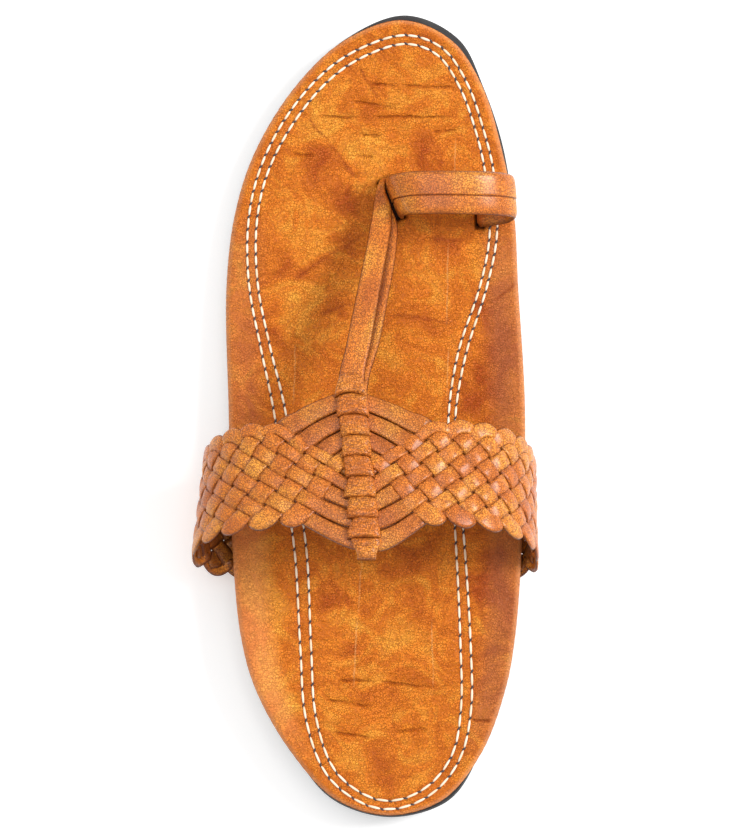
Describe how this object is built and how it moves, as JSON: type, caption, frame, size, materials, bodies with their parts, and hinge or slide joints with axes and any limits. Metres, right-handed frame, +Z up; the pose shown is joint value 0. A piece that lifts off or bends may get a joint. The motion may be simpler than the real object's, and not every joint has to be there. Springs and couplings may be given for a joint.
{
  "type": "toe-loop sandal",
  "caption": "Flat leather sandal with a plaited instep band, bound spine, centre strap and big-toe loop on a stitched footbed and rubber sole.",
  "frame": {"origin": "middle of the footprint, on the floor under the tread", "axes": "+Y towards the toe, +X towards the big-toe side, +Z up"},
  "size_m": [0.1226, 0.2848, 0.0689],
  "materials": {
    "sole_rubber": "matte black moulded rubber",
    "footbed_leather": "mottled tan leather with a soft satin polish",
    "strap_leather": "tan strap leather with a satin polish",
    "stitch_thread": "cream twisted thread"
  },
  "bodies": {
    "root": {"outsole": "sole_rubber", "footbed": "footbed_leather", "upper": "strap_leather", "spine_wrap_1": "strap_leather", "spine_wrap_2": "strap_leather", "spine_wrap_3": "strap_leather", "spine_wrap_4": "strap_leather", "spine_wrap_5": "strap_leather", "spine_wrap_6": "strap_leather", "spine_wrap_7": "strap_leather", "spine_wrap_8": "strap_leather", "spine_wrap_9": "strap_leather"}
  },
  "joints": []
}
